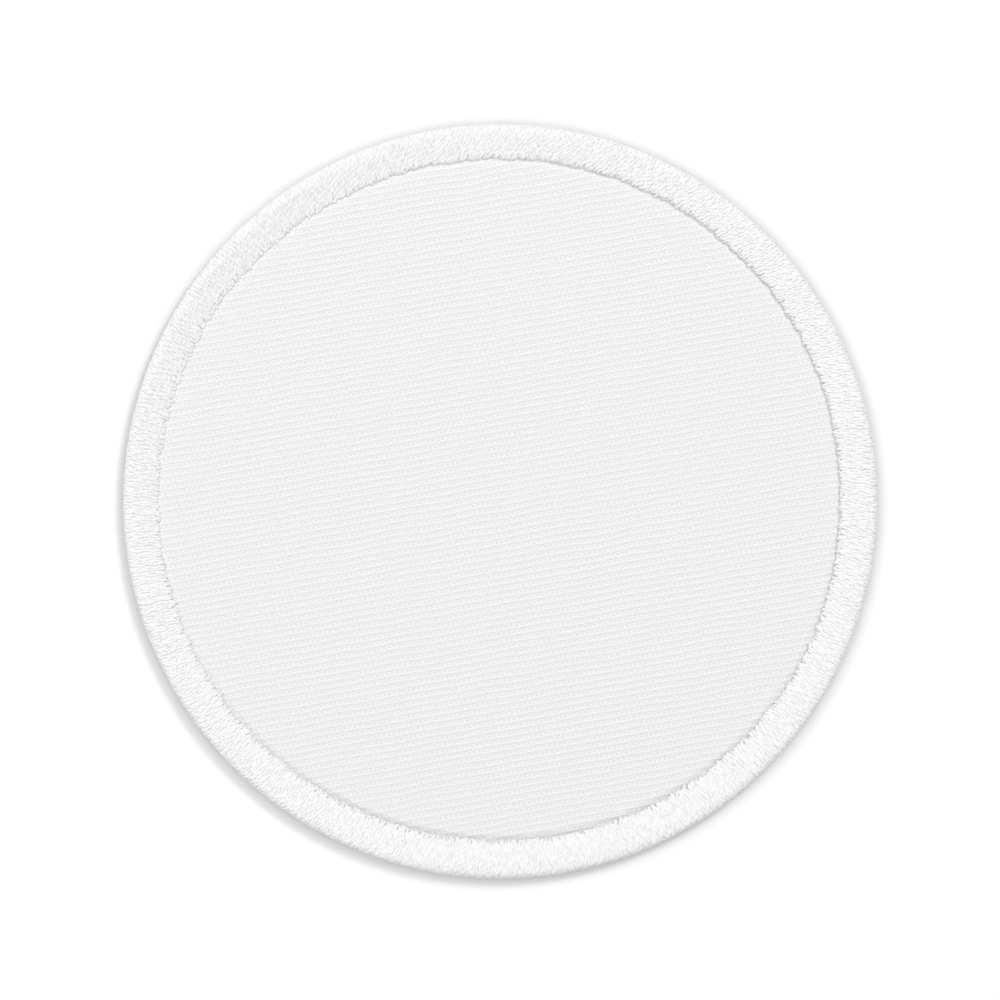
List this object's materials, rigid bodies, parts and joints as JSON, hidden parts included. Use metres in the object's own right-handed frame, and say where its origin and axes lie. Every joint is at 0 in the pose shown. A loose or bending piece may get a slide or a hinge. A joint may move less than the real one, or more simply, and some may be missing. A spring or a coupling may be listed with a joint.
{
  "type": "embroidered patch",
  "caption": "Round bare patch of white twill with a thick satin-stitched border wrapped over its edge.",
  "frame": {"origin": "centre of the patch's flat back, where it lies on a surface", "axes": "+Z out of the face, +Y towards the top edge as the picture shows it, +X to the right seen from the front"},
  "size_m": [0.0762, 0.0762, 0.0021],
  "materials": {
    "twill": "white polyester and cotton twill, stiffened, with a fine diagonal rib",
    "border_thread": "white embroidery thread with a soft sheen, in close satin stitches"
  },
  "bodies": {
    "root": {"twill_cloth": "twill", "stitched_border": "border_thread"}
  },
  "joints": []
}
